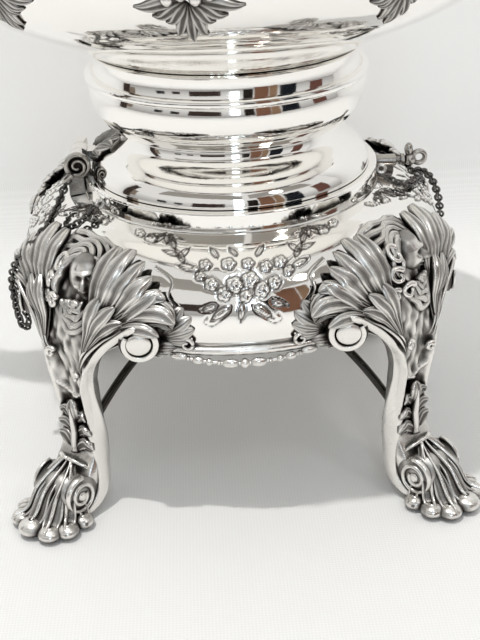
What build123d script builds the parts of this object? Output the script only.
from build123d import *
import os
from math import asin, cos, degrees, hypot, pi, radians, sin, tan

# A silver spirit kettle that tips on a four-legged stand, with its lamp below.
# Millimetres, +Z up, origin on the table at the centre of the four feet.
# The spout points to -X, and the front of the stand faces -Y.

UPWARD = (Align.CENTER, Align.CENTER, Align.MIN)

# ---- clearances -------------------------------------------------------------
GAP = 0.3                 # between pieces of different bodies that rest or pass
RUNNING = 0.05            # radial clearance of every pin in its knuckle
SHEET = 1.4               # raised silver sheet

# ---- stand ------------------------------------------------------------------
STAND_HEIGHT = 127.0      # table to the top of the rim collar
COLLAR_INNER = 57.3
COLLAR_OUTER = 63.5
COLLAR_HEIGHT = 8.0
DRUM_RADIUS = 92.0        # widest part of the bombe drum
DRUM_HEIGHT = 35.0        # collar's underside to the drum's lower edge
MOULDING = 3.6            # height of the half-round apron moulding
SWAG_SPAN = 27.0          # half the width of a swag, at its ends
SWAG_DROP = 5.0
SWAG_RADIUS = 2.1

# ---- legs -------------------------------------------------------------------
LEG_ANGLES = {"front_left": 225, "front_right": 315, "back_right": 45, "back_left": 135}
LEG_KNEE = 104.6          # axis to the knee's crest
LEG_ANKLE = 98.3          # axis to the ankle's outer face
LEG_INNER = 92.5          # axis to the ankle's inner face
LEG_HALF_WIDTH = 9.5      # at the ankle
KNEE_HALF_WIDTH = 39.0    # across the leaf that spreads on the drum
LEAF = 3.4                # how far the knee's leaf stands off the drum
VOLUTE_OUT = 92.1         # volute eye, out along the leg's own plane
VOLUTE_ASIDE = 35.4       # and to each side of it
VOLUTE_HEIGHT = 86.2
VOLUTE_RADIUS = 8.6
VOLUTE_DEPTH = 8.0
SCROLL_OUT = 102.0        # foot scroll's eye
SCROLL_RADIUS = 9.8
SCROLL_HALF_WIDTH = 12.3
TOE_OUT = 131.7
TOE_HALF_WIDTH = 14.0
TOE_COUNT = 5

# ---- masks ------------------------------------------------------------------
MASK_OUT = 99.0
MASK_HEIGHT = 100.0
MASK_SIZE = (9.5, 12.5, 17.0)     # half depth, half width, half height

# ---- lamp and its ring ------------------------------------------------------
RING_INNER = 28.4
RING_WALL = 3.4
RING_TOP = 69.5
RING_HEIGHT = 6.0
ARM_RADIUS = 1.8
ARM_FOOT = (LEG_INNER + 1.9, 31.0)   # out and up, where an arm leaves its leg
ARM_BEND = (62.0, 56.3)
FONT_RADIUS = 27.9
FONT_RIM = 31.2
FONT_DEPTH = 19.8         # font's underside to its rim
WICK_TUBE_RADIUS = 4.4
WICK_RADIUS = 3.2
BURNER_RADIUS = 9.4
SNUFFER_RADIUS = 7.2
SNUFFER_HEIGHT = 13.0

# ---- tipping hinge, on the left ---------------------------------------------
HINGE_X = -65.0
HINGE_Z = 132.0
HINGE_RADIUS = 4.7
HINGE_HALF_LENGTH = 12.0
HINGE_MIDDLE = 7.7        # length of the kettle's knuckle
HINGE_PIN_RADIUS = 1.9
PIN_HEAD_RADIUS = 5.7

# ---- lock pin, on the right -------------------------------------------------
LOCK_Z = 123.0
SOCKET_RADIUS = 2.65
SOCKET_LENGTH = 8.9       # outside the collar
LOCK_PIN_RADIUS = 1.4
LOCK_DRAWN = 2.1          # how far the pin is drawn, just clear of the skirt
LOCK_BITE = 1.6           # pin's reach past the collar's bore when home

# ---- kettle -----------------------------------------------------------------
SKIRT_RADIUS = 56.4       # foot's skirt, inside the collar
SKIRT_DEPTH = 7.4
FLANGE_RADIUS = 60.0
FOOT_NECK_RADIUS = 44.0
FOOT_HEIGHT = 18.3        # stand's rim to the underside of the body
LOBE_RADIUS = 58.3
BOWL_RADIUS = 117.2
BOWL_LEVEL = 228.0        # height of the widest part
NECK_RADIUS = 48.5
NECK_TOP = 284.0
WAIST_RING = 2.0
WAIST_JOINT = 36.0        # level joints of the body's courses, above its underside
SHOULDER_JOINT = 98.0
HANDLE_LUG_X = 95.0
HANDLE_PIVOT_Z = 271.0
HANDLE_PIN_RADIUS = 1.9

# ---- spout ------------------------------------------------------------------
SPOUT_ROOT = 19.0         # radius where it leaves the bowl
SPOUT_TIP = 6.8
SPOUT_WALL = 1.3
STRAINER_RADIUS = 13.0
STRAINER_HOLE = 1.2

# ---- lid --------------------------------------------------------------------
LID_RADIUS = 50.2
LID_RISE = 18.0
LID_HINGE_X = 54.6
LID_HINGE_RADIUS = 2.5
LID_PIN_RADIUS = 1.1
LID_KNUCKLE = 5.6         # length of the lid's own knuckle
LID_EAR = 4.6             # length of each bezel knuckle
FINIAL_RADIUS = 8.6
FINIAL_HEIGHT = 25.0

# ---- bail handle ------------------------------------------------------------
GRIP_RADIUS = 5.2
GRIP_HALF_SPAN = 52.0
GRIP_RISE = 10.0
HANDLE_TOP = 396.0        # centre line of the grip at its middle
ARM_THICK = 3.6
INSULATOR_RADIUS = 5.6
INSULATOR_LENGTH = 4.0

# ---- chains -----------------------------------------------------------------
CHAIN_RADIUS = 1.7
HINGE_CHAIN = [(-71.0, -17.6, 122.2), (-72.8, -24.6, 120.2), (-74.6, -32.0, 118.0), (-76.6, -38.4, 115.8),
               (-80.8, -41.8, 112.0), (-86.2, -39.8, 106.2), (-92.2, -35.8, 98.8), (-95.6, -31.4, 89.8),
               (-96.2, -28.4, 80.0), (-95.8, -27.2, 70.4), (-94.4, -26.4, 62.8), (-91.8, -22.6, 63.2),
               (-93.8, -21.4, 71.4), (-95.4, -21.4, 81.4), (-92.0, -25.0, 91.2), (-88.2, -30.0, 99.6),
               (-83.8, -34.4, 105.8), (-79.2, -37.4, 109.6), (-75.4, -39.8, 112.2), (-71.6, -41.8, 114.4),
               (-67.4, -43.6, 116.6), (-63.2, -43.8, 118.4), (-59.6, -41.4, 120.2), (-57.2, -37.8, 121.8)]
LOCK_CHAIN = [(79.6, -1.0, 117.9), (84.2, 2.0, 117.2), (88.4, 5.2, 113.6), (91.6, 7.8, 108.6), (94.2, 9.8, 102.2),
              (96.0, 12.0, 94.6), (97.2, 15.4, 86.2), (96.8, 19.2, 78.2), (93.4, 23.2, 71.0), (90.8, 26.6, 66.2),
              (90.2, 30.0, 69.4), (92.6, 29.6, 76.6), (94.0, 28.0, 84.4), (91.0, 26.2, 93.6), (89.2, 22.4, 102.0),
              (87.4, 14.8, 108.6), (84.8, 5.4, 112.6), (81.6, -4.4, 115.5), (77.8, -13.6, 117.2),
              (73.6, -19.2, 118.6), (69.4, -20.6, 120.2), (66.4, -17.6, 121.4)]

COLLAR_BOTTOM = STAND_HEIGHT - COLLAR_HEIGHT
DRUM_BOTTOM = COLLAR_BOTTOM - DRUM_HEIGHT
BODY_FLOOR = STAND_HEIGHT + FOOT_HEIGHT
LID_SEAT = NECK_TOP + 3.0
GRIP_CURVE = (GRIP_HALF_SPAN**2 + GRIP_RISE**2) / (2 * GRIP_RISE)
GRIP_CENTRE = HANDLE_TOP - GRIP_CURVE


# ---- helpers ----------------------------------------------------------------
def inset(points, depth):
    """Moves each point of an outline to the left of its run by depth."""
    moved = []
    for i, (r, z) in enumerate(points):
        r0, z0 = points[max(i - 1, 0)]
        r1, z1 = points[min(i + 1, len(points) - 1)]
        run = hypot(r1 - r0, z1 - z0)
        moved.append((r - (z1 - z0) / run * depth, z + (r1 - r0) / run * depth))
    return moved


def turned(*edges):
    """Turns a closed outline in (radius, height) about Z."""
    return revolve(Plane.XZ * make_face(list(edges)), Axis.Z)


def washer(inner, outer, low, high, edge=0.0):
    """A plain ring with its outer edges rounded."""
    corners = [(inner, low), (outer, low), (outer, high), (inner, high)]
    ring = turned(*Polyline(*corners, close=True).edges())
    if edge:
        ring = fillet(ring.edges().filter_by(GeomType.CIRCLE).group_by(SortBy.RADIUS)[-1], edge)
    return ring


def rod(start, end, radius):
    """A round bar between two points."""
    line = Vector(*end) - Vector(*start)
    return Plane(origin=start, z_dir=line) * Cylinder(radius, line.length, align=UPWARD)


def smooth_shell(outline, thickness):
    """A turned sheet-metal wall that follows an outline."""
    inside = inset(outline, thickness)
    return turned(Spline(*outline), Line(outline[-1], inside[-1]), Spline(*inside[::-1]), Line(inside[0], outline[0]))


def filled(outline):
    """The solid inside a turned outline, for seating other pieces on it."""
    (r0, z0), (r1, z1) = outline[0], outline[-1]
    return turned(Spline(*outline), Line((r1, z1), (0, z1)), Line((0, z1), (0, z0)), Line((0, z0), (r0, z0)))


# ---- outlines ---------------------------------------------------------------
def drum_outline():
    top, wide = COLLAR_BOTTOM, DRUM_RADIUS
    return [(wide - 1.2, DRUM_BOTTOM), (wide, DRUM_BOTTOM + 8.0), (wide - 2.2, top - 17.5), (wide - 8.0, top - 9.0),
            (wide - 17.0, top - 2.6), (COLLAR_OUTER, top)]


def bowl_outline():
    wide, level, floor = BOWL_RADIUS, BOWL_LEVEL, BODY_FLOOR
    lobe = LOBE_RADIUS
    low = [(FOOT_NECK_RADIUS + 0.6, floor), (lobe - 6.3, floor + 3.6), (lobe - 1.1, floor + 10.9), (lobe, floor + 18.6),
           (lobe - 2.2, floor + 25.4), (lobe - 3.0, floor + 29.6), (lobe - 1.3, floor + 34.0)]
    high = [low[-1], (wide - 39.7, level - 37.7), (wide - 22.2, level - 29.7), (wide - 7.6, level - 18.4),
            (wide, level), (wide - 7.6, level + 21.0), (wide - 28.0, level + 35.4), (wide - 51.0, level + 42.4),
            (NECK_RADIUS + 3.2, level + 47.0), (NECK_RADIUS, NECK_TOP)]
    return low, high


# ---- stand ------------------------------------------------------------------
def drum():
    return smooth_shell(drum_outline(), SHEET)


def drum_block():
    return filled(drum_outline())


def rim_collar():
    ring = washer(COLLAR_INNER, COLLAR_OUTER, COLLAR_BOTTOM, STAND_HEIGHT, 1.0)
    return ring - rod((0, 0, LOCK_Z), (COLLAR_OUTER + 5, 0, LOCK_Z), LOCK_PIN_RADIUS + RUNNING)


def apron_moulding():
    half = MOULDING / 2
    face_radius = DRUM_RADIUS - 1.2 - SHEET / 2
    ring = turned(Line((face_radius - half, DRUM_BOTTOM), (face_radius + 1.4, DRUM_BOTTOM)),
                  ThreePointArc((face_radius + 1.4, DRUM_BOTTOM), (face_radius + 1.4 + half, DRUM_BOTTOM - half),
                                (face_radius + 1.4, DRUM_BOTTOM - MOULDING)),
                  Line((face_radius + 1.4, DRUM_BOTTOM - MOULDING), (face_radius - half, DRUM_BOTTOM - MOULDING)),
                  Line((face_radius - half, DRUM_BOTTOM - MOULDING), (face_radius - half, DRUM_BOTTOM)))
    return ring


def apron_swag():
    """A drop of husks hung between two volutes, on the side that faces -Y."""
    out = DRUM_RADIUS + 1.2
    top = DRUM_BOTTOM - MOULDING + SWAG_RADIUS / 2
    path = ThreePointArc((-SWAG_SPAN, -(out - 4.2), top), (0, -out, top - SWAG_DROP), (SWAG_SPAN, -(out - 4.2), top))
    husks = sweep(Plane(origin=path @ 0, z_dir=path % 0) * Circle(SWAG_RADIUS), path)
    bead = Pos(0, -out, top - SWAG_DROP) * Rot(0, 90, 0) * Sphere(SWAG_RADIUS + 1.1)
    return husks + bead


def leg_outline():
    """The leg seen from outside: half widths against height."""
    half, wide, ankle = LEG_HALF_WIDTH, SCROLL_HALF_WIDTH, 34.0
    side = [(wide, 8.0), (wide - 0.3, 14.0), (half + 0.9, 24.0), (half, ankle), (half - 0.2, 48.0),
            (half + 0.3, 60.0), (half + 2.7, 68.5), (half + 7.0, 76.0), (half + 12.3, 81.5),
            (half + 17.6, 85.6), (half + 21.8, 89.0)]
    leaf = [side[-1], (KNEE_HALF_WIDTH, 93.5), (KNEE_HALF_WIDTH - 2.6, 101.0), (KNEE_HALF_WIDTH - 12.0, 108.5),
            (KNEE_HALF_WIDTH - 25.0, 114.0), (0.0, STAND_HEIGHT - 11.0)]
    right = [Spline(*side), Spline(*leaf)]
    left = [Spline(*[(-w, z) for w, z in side]), Spline(*[(-w, z) for w, z in leaf])]
    closing = Line((-side[0][0], side[0][1]), side[0])
    return extrude(Plane.YZ * make_face(right + left + [closing]), amount=160)


def leg_strip():
    """The cabriole sweep of the leg, turned about the stand's axis."""
    knee, ankle, inner = LEG_KNEE, LEG_ANKLE, LEG_INNER
    outer = [(knee - 6.6, 98.0), (knee - 2.0, 88.0), (knee, 76.0), (knee - 0.6, 64.0), (knee - 3.1, 50.0),
             (ankle + 0.4, 37.0), (ankle, 27.5), (ankle + 2.7, 19.0), (SCROLL_OUT + 3.0, 12.0)]
    back = [(SCROLL_OUT - 8.0, 12.0), (inner + 0.4, 18.5), (inner, 28.0), (inner + 0.2, 40.0),
            (inner + 1.2, 54.0), (inner + 2.0, 66.0), (inner + 0.6, 78.0), (inner - 4.4, 90.0)]
    return turned(Spline(*outer), Line(outer[-1], back[0]), Spline(*back), Line(back[-1], outer[0]))


def knee_leaf():
    """The sheet of leaves that lies on the drum above the knee."""
    near = inset(drum_outline(), SHEET / 2)
    far = inset(drum_outline(), -LEAF)
    return turned(Spline(*near), Line(near[-1], far[-1]), Spline(*far[::-1]), Line(far[0], near[0]))


def volute(side):
    away = Vector(1, side, 0).normalized()
    eye = Vector(VOLUTE_OUT, side * VOLUTE_ASIDE, VOLUTE_HEIGHT)
    disc = Plane(origin=eye - away * VOLUTE_DEPTH, z_dir=away) * Cylinder(
        VOLUTE_RADIUS, VOLUTE_DEPTH - 1.2, align=UPWARD)
    boss = Plane(origin=eye - away * VOLUTE_DEPTH, z_dir=away) * Cylinder(
        VOLUTE_RADIUS * 0.4, VOLUTE_DEPTH, align=UPWARD)
    return disc + boss


def foot():
    """The scroll at the ankle and the fan of toes in front of it."""
    half = SCROLL_HALF_WIDTH
    scroll = Pos(SCROLL_OUT, 0, SCROLL_RADIUS) * Rot(90, 0, 0) * Cylinder(SCROLL_RADIUS, 2 * half)
    side = Spline((SCROLL_OUT - 1.0, 15.5), (SCROLL_OUT + 9.0, 13.5), (TOE_OUT - 12.0, 8.6), (TOE_OUT - 4.0, 6.4),
                  (TOE_OUT + 1.0, 2.6), (TOE_OUT, 0.0))
    wedge = extrude(Plane.XZ * make_face([side, Line((TOE_OUT, 0), (SCROLL_OUT - 1, 0)),
                                          Line((SCROLL_OUT - 1, 0), (SCROLL_OUT - 1, 15.5))]), amount=TOE_HALF_WIDTH + 4,
                    both=True)
    fan = Polygon((SCROLL_OUT - 2, -half), (TOE_OUT - 12, -TOE_HALF_WIDTH + 1.2), (TOE_OUT - 7, -TOE_HALF_WIDTH),
                  (TOE_OUT - 5, 0), (TOE_OUT - 7, TOE_HALF_WIDTH), (TOE_OUT - 12, TOE_HALF_WIDTH - 1.2),
                  (SCROLL_OUT - 2, half), align=None)
    toe_radius = TOE_HALF_WIDTH / (TOE_COUNT - 1) * 1.05
    for i in range(TOE_COUNT):
        across = (i / (TOE_COUNT - 1) * 2 - 1) * (TOE_HALF_WIDTH - toe_radius)
        reach = TOE_OUT - toe_radius - 4.0 * (across / TOE_HALF_WIDTH)**2
        fan += Pos(reach, across) * Circle(toe_radius)
    return scroll + (extrude(fan, amount=30) & wedge)


def leg():
    """One leg in its own plane: +X is outwards along the diagonal."""
    drum_solid = drum_block()
    seen = leg_outline()
    sector = Pos(0, 0, 8) * Box(150, 120, 130, align=(Align.MIN, Align.CENTER, Align.MIN))
    away = Rot(0, 0, 180)
    strip = (away * leg_strip() & seen) & sector
    leaf = (away * knee_leaf() & seen) & sector
    shape = strip + leaf + volute(1) + volute(-1) + foot()
    return shape - away * drum_solid


def mask(leg_shape):
    """A plain head that is fixed on the knee: brow, nose, cheeks and a beard."""
    depth, width, height = MASK_SIZE
    head = Pos(MASK_OUT, 0, MASK_HEIGHT) * scale(Sphere(1), by=(depth, width, height))
    brow = Pos(MASK_OUT + depth - 2.6, 0, MASK_HEIGHT + 4.6) * scale(Sphere(1), by=(3.0, 8.0, 2.4))
    nose = Pos(MASK_OUT + depth - 1.2, 0, MASK_HEIGHT - 1.4) * scale(Sphere(1), by=(2.8, 2.3, 5.0))
    beard = Pos(MASK_OUT + depth - 4.0, 0, MASK_HEIGHT - 17.0) * scale(Sphere(1), by=(4.6, 8.0, 9.5))
    shape = head + brow + nose + beard
    for side in (1, -1):
        shape += Pos(MASK_OUT + depth - 3.4, side * 5.4, MASK_HEIGHT - 4.2) * Sphere(3.1)
    seated = shape - leg_shape - drum_block()
    return max(seated.solids(), key=lambda solid: solid.volume)


def lamp_ring():
    return washer(RING_INNER, RING_INNER + RING_WALL, RING_TOP - RING_HEIGHT, RING_TOP, 1.2)


def lamp_arm(leg_shape, ring):
    """A curved bar from the inside of a leg to the lamp's ring."""
    tip = (RING_INNER + RING_WALL / 2, 0, RING_TOP - RING_HEIGHT / 2)
    path = ThreePointArc((ARM_FOOT[0], 0, ARM_FOOT[1]), (ARM_BEND[0], 0, ARM_BEND[1]), tip)
    bar = sweep(Plane(origin=path @ 0, z_dir=path % 0) * Circle(ARM_RADIUS), path)
    cut = bar - leg_shape - ring
    return max(cut.solids(), key=lambda solid: solid.volume)


# ---- tipping hinge ----------------------------------------------------------
def knuckle(low, high):
    return rod((HINGE_X, low, HINGE_Z), (HINGE_X, high, HINGE_Z), HINGE_RADIUS)


def hinge_bore():
    return rod((HINGE_X, -40, HINGE_Z), (HINGE_X, 40, HINGE_Z), HINGE_PIN_RADIUS + RUNNING)


def hinge_bracket():
    """Two knuckles on a lug against the collar and the drum's shoulder."""
    inner_end = HINGE_MIDDLE / 2 + GAP
    shape = None
    for side in (1, -1):
        ends = sorted((side * inner_end, side * HINGE_HALF_LENGTH))
        ear = knuckle(*ends)
        web = Pos(HINGE_X - 1.2, (ends[0] + ends[1]) / 2, HINGE_Z) * Box(
            6.6, ends[1] - ends[0], HINGE_Z - COLLAR_BOTTOM + 1.0, align=(Align.CENTER, Align.CENTER, Align.MAX))
        shape = ear + web if shape is None else shape + ear + web
    plate = Pos(HINGE_X - 2.0, 0, COLLAR_BOTTOM - 1.0) * Box(5.0, 2 * HINGE_HALF_LENGTH, 5.0,
                                                         align=UPWARD)
    core = Cylinder(COLLAR_OUTER, 60, align=UPWARD)
    return shape + plate - Pos(0, 0, 90) * core - drum_block() - hinge_bore()


def hinge_pin():
    tip = HINGE_HALF_LENGTH + 1.2
    shaft = rod((HINGE_X, -HINGE_HALF_LENGTH - GAP, HINGE_Z), (HINGE_X, tip, HINGE_Z), HINGE_PIN_RADIUS)
    front = -HINGE_HALF_LENGTH - GAP
    head = rod((HINGE_X, front - 1.2, HINGE_Z), (HINGE_X, front, HINGE_Z), PIN_HEAD_RADIUS)
    lip = Plane(origin=(HINGE_X, front - 1.2, HINGE_Z), z_dir=(0, 1, 0)) * Torus(PIN_HEAD_RADIUS - 1.0, 1.0)
    return shaft + head + lip


def pin_eye():
    """The ring below the pin's head, where the chain hangs."""
    front = -HINGE_HALF_LENGTH - GAP
    centre = (HINGE_X - PIN_HEAD_RADIUS * 0.74, front - 3.6, HINGE_Z - PIN_HEAD_RADIUS * 0.76)
    ring = Plane(origin=centre, z_dir=(0.6, 0.1, -0.8)) * Torus(2.3, 0.75)
    return max((ring - hinge_pin()).solids(), key=lambda solid: solid.volume)


# ---- lock pin ---------------------------------------------------------------
def lock_socket():
    """A tube on the collar, with a small leaf under it on the shoulder."""
    end = COLLAR_OUTER + SOCKET_LENGTH
    tube = rod((COLLAR_OUTER - 1.5, 0, LOCK_Z), (end, 0, LOCK_Z), SOCKET_RADIUS)
    tube = tube - Pos(0, 0, 90) * Cylinder(COLLAR_OUTER, 60, align=UPWARD)
    web = Pos(COLLAR_OUTER + SOCKET_LENGTH * 0.4, 0, LOCK_Z) * Box(
        SOCKET_LENGTH, 2.4, 12, align=(Align.CENTER, Align.CENTER, Align.MAX))
    web = web - Pos(0, 0, 90) * Cylinder(COLLAR_OUTER, 60, align=UPWARD)
    shape = tube + (web - drum_block())
    return shape - rod((0, 0, LOCK_Z), (end + 1, 0, LOCK_Z), LOCK_PIN_RADIUS + RUNNING)


def lock_pin_tip():
    return COLLAR_INNER - LOCK_BITE - RUNNING + LOCK_DRAWN - 0.8


def lock_pin():
    head = COLLAR_OUTER + SOCKET_LENGTH + LOCK_DRAWN + GAP
    shaft = rod((lock_pin_tip(), 0, LOCK_Z), (head, 0, LOCK_Z), LOCK_PIN_RADIUS)
    shoulder = rod((head, 0, LOCK_Z), (head + 1.4, 0, LOCK_Z), SOCKET_RADIUS)
    return shaft + shoulder


def lock_finial():
    """Two loops and a bud on the end of the lock pin."""
    head = COLLAR_OUTER + SOCKET_LENGTH + LOCK_DRAWN + GAP + 1.4
    knot = Pos(head + 2.6, 0, LOCK_Z) * Sphere(2.7)
    bud = Pos(head + 2.0, 0, LOCK_Z + 4.6) * scale(Sphere(1), by=(1.9, 1.9, 3.0))
    ring = Pos(head + 6.6, 0, LOCK_Z + 0.8) * Rot(90, 0, 0) * Torus(2.7, 1.1)
    shape = knot + bud + ring
    cut = shape - Pos(head, 0, LOCK_Z) * Box(10, 20, 20, align=(Align.MAX, Align.CENTER, Align.CENTER))
    return cut


def rim_eye(angle):
    """A small soldered loop on the collar for a chain's end."""
    reach = COLLAR_OUTER + 1.9
    centre = (reach * cos(radians(angle)), reach * sin(radians(angle)), COLLAR_BOTTOM + 4.0)
    ring = Plane(origin=centre, z_dir=(-sin(radians(angle)), cos(radians(angle)), 0)) * Torus(1.7, 0.7)
    return ring - Pos(0, 0, 90) * Cylinder(COLLAR_OUTER, 60, align=UPWARD)


def chain_tube(points):
    """A plain tube along a chain's route, with its corners rounded."""
    radii = []
    for a, b, c in zip(points, points[1:], points[2:]):
        one, two = Vector(*b) - Vector(*a), Vector(*c) - Vector(*b)
        turn = radians(one.get_angle(two))
        radii.append(0.45 * min(one.length, two.length) / tan(turn / 2))
    print("chain radii", [round(r, 1) for r in radii])
    path = FilletPolyline(*points, radius=radii)
    tube = sweep(Plane(origin=path @ 0, z_dir=path % 0) * Circle(CHAIN_RADIUS), path)
    print("length", round(path.length, 1), "volume ratio", round(tube.volume / (pi * CHAIN_RADIUS**2 * path.length), 4))
    return tube


# ---- lamp -------------------------------------------------------------------
def lamp_font():
    rim = RING_TOP + GAP
    low = rim - FONT_DEPTH
    outer = [(0.0, low), (14.0, low), (24.0, low + 5.6), (FONT_RADIUS, low + 14.0)]
    shape = turned(Line(outer[0], outer[1]), Spline(*outer[1:]), Line(outer[-1], (FONT_RADIUS, rim)),
                   Line((FONT_RADIUS, rim), (FONT_RIM, rim)), Line((FONT_RIM, rim), (FONT_RIM, rim + 1.4)),
                   Spline((FONT_RIM, rim + 1.4), (26.0, rim + 3.4), (17.0, rim + 7.4), (8.4, rim + 9.4)),
                   Line((8.4, rim + 9.4), (8.4, rim + 12.4)), Line((8.4, rim + 12.4), (0, rim + 12.4)),
                   Line((0, rim + 12.4), (0, low)))
    spirit = turned(*Polyline((0, low + 1.4), (13, low + 1.4), (24.6, low + 9.0), (FONT_RADIUS - 1.4, rim + 0.6),
                              (14, rim + 5.4), (0, rim + 5.4), close=True).edges())
    return shape - spirit - Cylinder(WICK_TUBE_RADIUS, 400)


def burner_top():
    return RING_TOP + GAP + 12.4


def burner_collar():
    """The screwed cap that carries the wick tube, with ears for the snuffer."""
    low = burner_top()
    cap = washer(WICK_TUBE_RADIUS, BURNER_RADIUS, low, low + 4.0, 0.6)
    pivot = low + 5.6
    ear = None
    for side in (1, -1):
        centre = side * 3.2
        piece = rod((centre - 1.0, BURNER_RADIUS + 1.6, pivot), (centre + 1.0, BURNER_RADIUS + 1.6, pivot), 2.0)
        piece += Pos(centre, BURNER_RADIUS + 0.2, low + 0.4) * Box(2.0, 3.6, 5.2, align=UPWARD)
        ear = piece if ear is None else ear + piece
    ear = ear - Cylinder(BURNER_RADIUS - 1.4, 400)
    shape = cap + ear
    return shape - rod((-9, BURNER_RADIUS + 1.6, pivot), (9, BURNER_RADIUS + 1.6, pivot), 0.8)


def snuffer_pin():
    pivot = burner_top() + 5.6
    return rod((-4.4, BURNER_RADIUS + 1.6, pivot), (4.4, BURNER_RADIUS + 1.6, pivot), 0.8)


def wick_tube():
    low = RING_TOP + GAP + 5.4
    return washer(WICK_RADIUS, WICK_TUBE_RADIUS, low, burner_top() + 10.0)


def wick():
    low = RING_TOP + GAP - 6.0
    return Pos(0, 0, low) * Cylinder(WICK_RADIUS, burner_top() + 11.2 - low, align=UPWARD)


def snuffer():
    low = burner_top() + 4.0 + GAP
    wall = 1.0
    top = low + SNUFFER_HEIGHT
    cup = turned(Line((SNUFFER_RADIUS - wall, low), (SNUFFER_RADIUS, low)), Line((SNUFFER_RADIUS, low), (SNUFFER_RADIUS, top - 5)),
                 ThreePointArc((SNUFFER_RADIUS, top - 5), (SNUFFER_RADIUS * 0.72, top - 1.6), (0, top)),
                 Line((0, top), (0, top - wall)),
                 ThreePointArc((0, top - wall), (SNUFFER_RADIUS * 0.72 - 0.8, top - 2.6), (SNUFFER_RADIUS - wall, top - 5.4)),
                 Line((SNUFFER_RADIUS - wall, top - 5.4), (SNUFFER_RADIUS - wall, low)))
    knob = Pos(0, 0, top + 1.6) * Sphere(2.0)
    pivot = burner_top() + 5.6
    barrel = rod((-2.0, BURNER_RADIUS + 1.6, pivot), (2.0, BURNER_RADIUS + 1.6, pivot), 1.9)
    tongue = Pos(0, SNUFFER_RADIUS - 0.6, pivot - 0.9) * Box(4.0, BURNER_RADIUS - SNUFFER_RADIUS + 2.4, 1.8,
                                                     align=(Align.CENTER, Align.MIN, Align.MIN))
    return cup + knob + barrel + tongue - rod((-9, BURNER_RADIUS + 1.6, pivot), (9, BURNER_RADIUS + 1.6, pivot), 0.8 + RUNNING)


# ---- kettle -----------------------------------------------------------------
def kettle_foot():
    """Skirt, flange and ogee of the kettle's foot, open to the flame."""
    seat = STAND_HEIGHT + GAP
    neck = FOOT_NECK_RADIUS
    outer = [(FLANGE_RADIUS, seat + 1.0), (FLANGE_RADIUS - 0.9, seat + 3.6), (FLANGE_RADIUS - 4.2, seat + 7.6),
             (neck + 7.4, seat + 10.2), (neck + 2.6, seat + 12.9), (neck, BODY_FLOOR)]
    inside = inset(outer, SHEET)
    shape = turned(Line((SKIRT_RADIUS, seat), (FLANGE_RADIUS, seat)), Line((FLANGE_RADIUS, seat), outer[0]), Spline(*outer),
                   Line(outer[-1], (inside[-1][0], BODY_FLOOR)), Line((inside[-1][0], BODY_FLOOR), inside[-2]),
                   Spline(*inside[-2:0:-1]), Line(inside[1], (SKIRT_RADIUS - SHEET, seat)),
                   Line((SKIRT_RADIUS - SHEET, seat), (SKIRT_RADIUS - SHEET, seat - SKIRT_DEPTH)),
                   Line((SKIRT_RADIUS - SHEET, seat - SKIRT_DEPTH), (SKIRT_RADIUS, seat - SKIRT_DEPTH)),
                   Line((SKIRT_RADIUS, seat - SKIRT_DEPTH), (SKIRT_RADIUS, seat)))
    return shape - rod((0, 0, LOCK_Z), (COLLAR_OUTER, 0, LOCK_Z), LOCK_PIN_RADIUS + 0.1)


def bowl_block():
    low, high = bowl_outline()
    return turned(Spline(*low), Spline(*high), Line(high[-1], (0, high[-1][1])),
                  Line((0, high[-1][1]), (0, low[0][1])), Line((0, low[0][1]), low[0]))


def spout_bore(radius):
    """A round bar through the bowl's wall on the spout's centre line."""
    level = BOWL_LEVEL - 2
    return rod((-BOWL_RADIUS - 10, 0, level), (-BOWL_RADIUS + 25, 0, level), radius)


def spout_strainer(body):
    """The pierced disc that is let into the bowl's wall behind the spout."""
    level = BOWL_LEVEL - 2
    disc = body & spout_bore(STRAINER_RADIUS - RUNNING)
    places = [(0.0, 0.0)]
    for count, ring in ((6, STRAINER_RADIUS * 0.4), (12, STRAINER_RADIUS * 0.78)):
        places += [(ring * cos(2 * pi * i / count), ring * sin(2 * pi * i / count)) for i in range(count)]
    bars = [rod((-BOWL_RADIUS - 10, y, level + z), (-BOWL_RADIUS + 25, y, level + z), STRAINER_HOLE) for y, z in places]
    return disc - bars


def kettle_body():
    low, high = bowl_outline()
    low_in, high_in = inset(low, SHEET), inset(high, SHEET)
    floor = low[0][1]
    corner = ((low_in[-1][0] + high_in[0][0]) / 2, (low_in[-1][1] + high_in[0][1]) / 2)
    low_in, high_in = [(low_in[0][0], floor + SHEET)] + low_in[1:-1] + [corner], [corner] + high_in[1:]
    high_in[-1] = (high[-1][0] - SHEET, high[-1][1])
    shape = turned(Spline(*low), Spline(*high), Line(high[-1], high_in[-1]), Spline(*high_in[::-1]), Spline(*low_in[::-1]),
                   Line(low_in[0], (0, floor + SHEET)), Line((0, floor + SHEET), (0, floor)), Line((0, floor), low[0]))
    return shape


def kettle_courses(body):
    """The body in three courses soldered on level joints: waist, bowl and shoulder."""
    levels = [BODY_FLOOR - 1, BODY_FLOOR + WAIST_JOINT, BODY_FLOOR + SHOULDER_JOINT, NECK_TOP + 1]
    courses = []
    for low, high in zip(levels, levels[1:]):
        level = Pos(0, 0, low) * Cylinder(BOWL_RADIUS + 5, high - low, align=UPWARD)
        courses.append(body & level)
    return courses


def waist_ring(bowl):
    ring = Pos(0, 0, BODY_FLOOR + 23.2) * Torus(LOBE_RADIUS - 0.7, WAIST_RING)
    return ring - bowl


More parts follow.
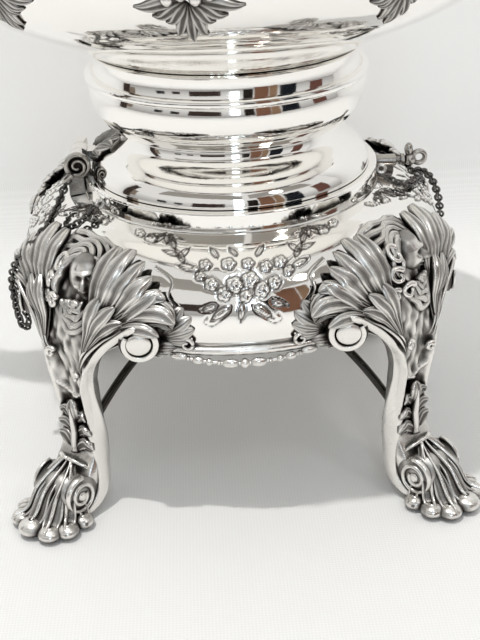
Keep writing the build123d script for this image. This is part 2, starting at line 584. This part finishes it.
def kettle_hinge(foot_shape):
    """The kettle's knuckle and the leaf that ties it to the foot."""
    half = HINGE_MIDDLE / 2
    web = Pos(HINGE_X, 0, HINGE_Z - 1.6) * Box(16, HINGE_MIDDLE, 4.6, align=(Align.MIN, Align.CENTER, Align.MIN))
    points = [(-57.6, -4), (-56, -10.5), (-51.5, -9.5), (-50.5, -12.5), (-46.2, -8), (-43.6, -8.6), (-42.8, 0)]
    outline = Polygon(*points, *[(x, -y) for x, y in points[-2::-1]], align=None)
    column = Pos(0, 0, STAND_HEIGHT + 2) * extrude(outline, amount=FOOT_HEIGHT - 2.4)
    seat = STAND_HEIGHT + GAP
    neck = FOOT_NECK_RADIUS
    near = [(FLANGE_RADIUS - 0.9, seat + 3.6), (FLANGE_RADIUS - 4.2, seat + 7.6), (neck + 7.4, seat + 10.2),
            (neck + 2.6, seat + 12.9), (neck, BODY_FLOOR)]
    far = inset(near, -1.5)
    skin = turned(Spline(*near), Line(near[-1], far[-1]), Spline(*far[::-1]), Line(far[0], near[0]))
    leaf = column & skin
    solid_foot = foot_shape + Cylinder(neck - 2, 300)
    piece = knuckle(-half, half) + web + leaf - hinge_bore() - solid_foot
    return max(piece.solids(), key=lambda solid: solid.volume)


def spout_sections(shrink):
    """Round sections along the swan neck: place, lean and radius."""
    path = [((-BOWL_RADIUS + 14, BOWL_LEVEL - 2), 0, SPOUT_ROOT), ((-BOWL_RADIUS - 4, BOWL_LEVEL - 1), 4, SPOUT_ROOT * 0.86),
            ((-BOWL_RADIUS - 20, BOWL_LEVEL + 8), 42, SPOUT_ROOT * 0.64), ((-BOWL_RADIUS - 30, BOWL_LEVEL + 24), 66, SPOUT_ROOT * 0.5),
            ((-BOWL_RADIUS - 38, BOWL_LEVEL + 42), 58, SPOUT_TIP + 1.4), ((-BOWL_RADIUS - 53, BOWL_LEVEL + 56), 34, SPOUT_TIP)]
    faces = []
    for (x, z), lean, radius in path:
        along = Vector(-cos(radians(lean)), 0, sin(radians(lean)))
        faces.append(Plane(origin=(x, 0, z), z_dir=along, x_dir=(0, 1, 0)) * Circle(radius - shrink))
    return faces


def spout(bowl):
    outer = loft(spout_sections(0))
    inner = loft(spout_sections(SPOUT_WALL))
    tip = Vector(-BOWL_RADIUS - 53, 0, BOWL_LEVEL + 56)
    lip = Plane(origin=tip - Vector(-3, 0, 2), z_dir=(-0.55, 0, 0.83)) * Box(60, 60, 30, align=UPWARD)
    tube = outer - bowl - inner - lip
    return max(tube.solids(), key=lambda solid: solid.volume)


def handle_lug(side, bowl):
    """An ear on the shoulder that carries one end of the bail."""
    x = side * HANDLE_LUG_X
    plate = Pos(x, 0, HANDLE_PIVOT_Z) * Box(4, 11, 20, align=(Align.CENTER, Align.CENTER, Align.MAX))
    top = rod((x - 2, 0, HANDLE_PIVOT_Z), (x + 2, 0, HANDLE_PIVOT_Z), 5.5)
    base = Pos(x - side * 1.0, 0, HANDLE_PIVOT_Z - 9.5) * Box(13, 17, 12, align=(Align.CENTER, Align.CENTER, Align.MAX))
    base = base & skin_over_bowl(3.0)
    shape = plate + top + base - bowl - rod((x - 20, 0, HANDLE_PIVOT_Z), (x + 20, 0, HANDLE_PIVOT_Z), HANDLE_PIN_RADIUS)
    return max(shape.solids(), key=lambda solid: solid.volume)


def skin_over_bowl(depth):
    """A layer on the outside of the bowl's shoulder."""
    high = bowl_outline()[1][4:]
    far = inset(high, -depth)
    return turned(Spline(*high), Line(high[-1], far[-1]), Spline(*far[::-1]), Line(far[0], high[0]))


def handle_pivot(side):
    x = side * HANDLE_LUG_X
    inner, outer = x - side * 2.8, x + side * (2 + GAP + 4 + GAP)
    shaft = rod((inner, 0, HANDLE_PIVOT_Z), (outer, 0, HANDLE_PIVOT_Z), HANDLE_PIN_RADIUS)
    head = rod((outer, 0, HANDLE_PIVOT_Z), (outer + side * 1.6, 0, HANDLE_PIVOT_Z), 3.6)
    cap = rod((inner - side * 1.0, 0, HANDLE_PIVOT_Z), (inner + side * 0.8, 0, HANDLE_PIVOT_Z), 3.0)
    return shaft + head + cap


def lid_bezel():
    """The ring on the kettle's neck, with two ears for the lid's pin."""
    ring = washer(NECK_RADIUS - SHEET, LID_RADIUS + 0.8, NECK_TOP, LID_SEAT, 0.8)
    hinge_z = LID_SEAT + 1.6
    first = LID_KNUCKLE / 2 + GAP
    shape = ring
    for side in (1, -1):
        low, high = sorted((side * first, side * (first + LID_EAR)))
        shape += rod((LID_HINGE_X, low, hinge_z), (LID_HINGE_X, high, hinge_z), LID_HINGE_RADIUS)
        web = Pos(LID_RADIUS - 1.0, (low + high) / 2, NECK_TOP) * Box(
            LID_HINGE_X - LID_RADIUS + 2.6, high - low, 3.0, align=(Align.MIN, Align.CENTER, Align.MIN))
        shape += web
    bore = rod((LID_HINGE_X, -12, hinge_z), (LID_HINGE_X, 12, hinge_z), LID_PIN_RADIUS)
    throat = Cylinder(NECK_RADIUS - SHEET, 800)
    return shape - bore - throat


def lid_hinge_pin():
    half = LID_KNUCKLE / 2 + GAP + LID_EAR + 0.4
    hinge_z = LID_SEAT + 1.6
    return rod((LID_HINGE_X, -half, hinge_z), (LID_HINGE_X, half, hinge_z), LID_PIN_RADIUS)


def lid_outline():
    seat = LID_SEAT + GAP
    return [(LID_RADIUS, seat + 1.4), (LID_RADIUS - 5.0, seat + 4.2), (LID_RADIUS - 16.0, seat + LID_RISE * 0.62),
            (LID_RADIUS - 30.0, seat + LID_RISE * 0.88), (5.0, seat + LID_RISE)]


def lid_dome():
    seat = LID_SEAT + GAP
    outer = lid_outline()
    inside = inset(outer, SHEET)
    plug = NECK_RADIUS - SHEET - 1.2
    shape = turned(Line((plug, seat), (LID_RADIUS, seat)), Line((LID_RADIUS, seat), outer[0]), Spline(*outer),
                   Line(outer[-1], (2.0, seat + LID_RISE)), Line((2.0, seat + LID_RISE), (2.0, seat + LID_RISE - SHEET)),
                   Line((2.0, seat + LID_RISE - SHEET), inside[-1]), Spline(*inside[:0:-1]),
                   Line(inside[1], (plug - SHEET, seat + 1.4)), Line((plug - SHEET, seat + 1.4), (plug - SHEET, seat - 4.0)),
                   Line((plug - SHEET, seat - 4.0), (plug, seat - 4.0)), Line((plug, seat - 4.0), (plug, seat)))
    hinge_z = LID_SEAT + 1.6
    half = LID_KNUCKLE / 2
    barrel = rod((LID_HINGE_X, -half, hinge_z), (LID_HINGE_X, half, hinge_z), LID_HINGE_RADIUS)
    tongue = Pos(LID_RADIUS - 1.5, 0, seat) * Box(LID_HINGE_X - LID_RADIUS + 1.5, LID_KNUCKLE, 1.8,
                                                  align=(Align.MIN, Align.CENTER, Align.MIN))
    bore = rod((LID_HINGE_X, -12, hinge_z), (LID_HINGE_X, 12, hinge_z), LID_PIN_RADIUS + RUNNING)
    return shape + barrel + tongue - bore


def finial():
    """A fluted bud on a turned stem, with a tang through the lid."""
    base = LID_SEAT + GAP + LID_RISE
    wide, tall = FINIAL_RADIUS, FINIAL_HEIGHT
    bud = turned(Line((0, base), (6.4, base)), Line((6.4, base), (6.4, base + 1.4)),
                 Spline((6.4, base + 1.4), (2.8, base + 3.6), (3.2, base + 6.0)),
                 Spline((3.2, base + 6.0), (wide, base + tall * 0.46), (wide * 0.72, base + tall * 0.74), (1.0, base + tall)),
                 Line((1.0, base + tall), (0, base + tall)), Line((0, base + tall), (0, base)))
    tang = rod((0, 0, base - SHEET - 3.6), (0, 0, base), 1.9)
    return bud + tang


def finial_nut():
    base = LID_SEAT + GAP + LID_RISE - SHEET
    nut = Pos(0, 0, base) * extrude(RegularPolygon(4.2, 6), amount=-2.6)
    return nut - Cylinder(1.9, 800)


# ---- bail handle ------------------------------------------------------------
def arc_point(turn):
    return (GRIP_CURVE * sin(radians(turn)), GRIP_CENTRE + GRIP_CURVE * cos(radians(turn)))


GRIP_TURN = degrees(asin(GRIP_HALF_SPAN / GRIP_CURVE))
INSULATOR_TURN = degrees(INSULATOR_LENGTH / GRIP_CURVE)


def grip():
    (x0, z0), (x1, z1), (x2, z2) = (arc_point(turn) for turn in (-GRIP_TURN, 0, GRIP_TURN))
    path = ThreePointArc((x0, 0, z0), (x1, 0, z1), (x2, 0, z2))
    thick = sweep(Plane(origin=path @ 0, z_dir=path % 0) * Circle(GRIP_RADIUS), path)
    return thick


def insulator(side):
    turn = side * (GRIP_TURN + INSULATOR_TURN / 2)
    x, z = arc_point(turn)
    along = (cos(radians(turn)), 0, -sin(radians(turn)))
    half = INSULATOR_LENGTH / 2 - 0.08
    disc = Plane(origin=(x, 0, z), z_dir=along) * Cylinder(INSULATOR_RADIUS, 2 * half)
    return fillet(disc.edges().filter_by(GeomType.CIRCLE), 1.2)


def handle_arm(side):
    """A silver arm from the insulator down to its pivot eye."""
    turn = GRIP_TURN + INSULATOR_TURN
    x, z = arc_point(turn)
    eye_x = HANDLE_LUG_X + 2 + GAP + 2
    points = [(side * x, 0, z), (side * (x + 28), 0, z - 19.5), (side * (eye_x + 6.5), 0, z - 56), (side * (eye_x + 4), 0, z - 88),
              (side * eye_x, 0, HANDLE_PIVOT_Z + 2)]
    start = (side * cos(radians(turn)), 0, -sin(radians(turn)))
    path = Spline(*points, tangents=(start, (-side * 0.1, 0, -1)))
    bar = sweep(Plane(origin=path @ 0, z_dir=path % 0) * Circle(ARM_THICK), path)
    eye = rod((side * (eye_x - 2), 0, HANDLE_PIVOT_Z), (side * (eye_x + 2), 0, HANDLE_PIVOT_Z), 5.5)
    shape = bar + eye
    for face, out in ((eye_x - 2, -1), (eye_x + 2, 1)):
        shape -= Pos(side * (face + out * 10), 0, HANDLE_PIVOT_Z) * Box(20, 20, 15)
    return shape - rod((0, 0, HANDLE_PIVOT_Z), (side * 120, 0, HANDLE_PIVOT_Z), HANDLE_PIN_RADIUS + RUNNING)


# ---- the whole object -------------------------------------------------------
def build():
    """Every named piece in its place."""
    leg_shape = leg()
    mask_shape = mask(leg_shape)
    ring = lamp_ring()
    arm_shape = lamp_arm(leg_shape, ring)
    bowl = bowl_block()
    foot_shape = kettle_foot()
    pieces = {"drum": drum(), "rim_collar": rim_collar(), "lamp_ring": ring}
    moulding = apron_moulding()
    swags = []
    for name, angle in LEG_ANGLES.items():
        turn = Rot(0, 0, angle)
        pieces[f"leg_{name}"] = turn * leg_shape
        pieces[f"mask_{name}"] = turn * mask_shape
        pieces[f"lamp_arm_{name}"] = turn * arm_shape
        moulding = moulding - turn * leg_shape
    for angle in (0, 90, 180, 270):
        swags += (Rot(0, 0, angle) * (apron_swag() - apron_moulding())).solids()
    pieces["apron_moulding"] = Compound(children=moulding.solids())
    pieces["apron_swags"] = Compound(children=swags)
    pieces["hinge_bracket"] = hinge_bracket()
    pieces["lock_socket"] = lock_socket()
    pieces["hinge_rim_eye"] = rim_eye(213)
    pieces["lock_rim_eye"] = rim_eye(351)
    pieces["hinge_pin"] = hinge_pin()
    pieces["hinge_pin_eye"] = pin_eye()
    pieces["lock_pin"] = lock_pin()
    pieces["lock_finial"] = lock_finial()
    pieces["hinge_chain"] = chain_tube(HINGE_CHAIN)
    pieces["lock_chain"] = chain_tube(LOCK_CHAIN)
    body = kettle_body()
    waist, middle, shoulder = kettle_courses(body)
    pieces["kettle_waist"] = waist
    pieces["kettle_body"] = middle - spout_bore(STRAINER_RADIUS)
    pieces["kettle_shoulder"] = shoulder
    pieces["spout_strainer"] = spout_strainer(body)
    pieces["kettle_foot"] = foot_shape
    pieces["waist_ring"] = waist_ring(bowl)
    pieces["kettle_hinge"] = kettle_hinge(foot_shape)
    pieces["spout"] = spout(bowl)
    pieces["lid_bezel"] = lid_bezel()
    pieces["lid_hinge_pin"] = lid_hinge_pin()
    for side, word in ((-1, "left"), (1, "right")):
        pieces[f"handle_lug_{word}"] = handle_lug(side, bowl)
        pieces[f"handle_pivot_{word}"] = handle_pivot(side)
        pieces[f"handle_arm_{word}"] = handle_arm(side)
        pieces[f"insulator_{word}"] = insulator(side)
    pieces["handle_grip"] = grip()
    pieces["lid_dome"] = lid_dome()
    pieces["lid_finial"] = finial()
    pieces["finial_nut"] = finial_nut()
    pieces["lamp_font"] = lamp_font()
    pieces["burner_collar"] = burner_collar()
    pieces["wick_tube"] = wick_tube()
    pieces["wick"] = wick()
    pieces["snuffer_cap"] = snuffer()
    pieces["snuffer_pin"] = snuffer_pin()
    return pieces


os.makedirs("parts", exist_ok=True)
for node, shape in build().items():
    export_step(shape, f"parts/{node}.step")
